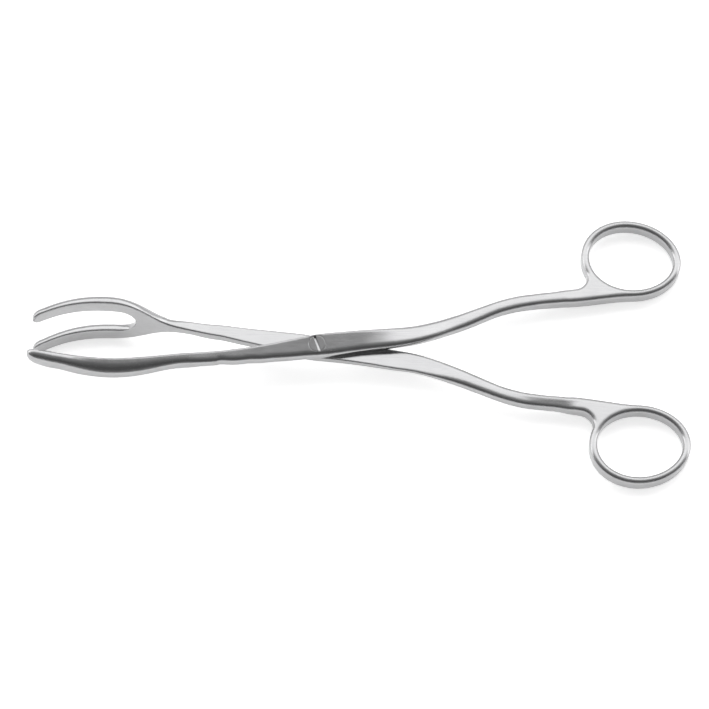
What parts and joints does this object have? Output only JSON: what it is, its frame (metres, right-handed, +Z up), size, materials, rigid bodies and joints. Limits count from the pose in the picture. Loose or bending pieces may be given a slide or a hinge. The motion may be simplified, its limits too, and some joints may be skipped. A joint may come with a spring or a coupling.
{
  "type": "sterilizing forceps",
  "caption": "Long steel forceps for lifting hot sterile things: a forked jaw against a single prong, crossed arms on a countersunk pivot screw, and oval finger rings.",
  "frame": {"origin": "on the surface that the forceps rest on, under the middle of their outline", "axes": "+X along the forceps from the jaws to the finger rings, +Y towards the ring of the upper arm, +Z up from the surface"},
  "size_m": [0.197, 0.089, 0.0245],
  "materials": {
    "arm_steel": "satin polished stainless steel",
    "screw_steel": "ground stainless steel"
  },
  "bodies": {
    "fork_side": {"fork_arm": "arm_steel", "pivot_screw": "screw_steel"},
    "prong_side": {"prong_arm": "arm_steel"}
  },
  "joints": [
    {"name": "pivot", "type": "hinge", "parent": "fork_side", "child": "prong_side", "pos_m": [-0.01219, 0, 0.00797], "axis": [0.0521, 0, 0.9986], "range_deg": [-7, 25]}
  ]
}
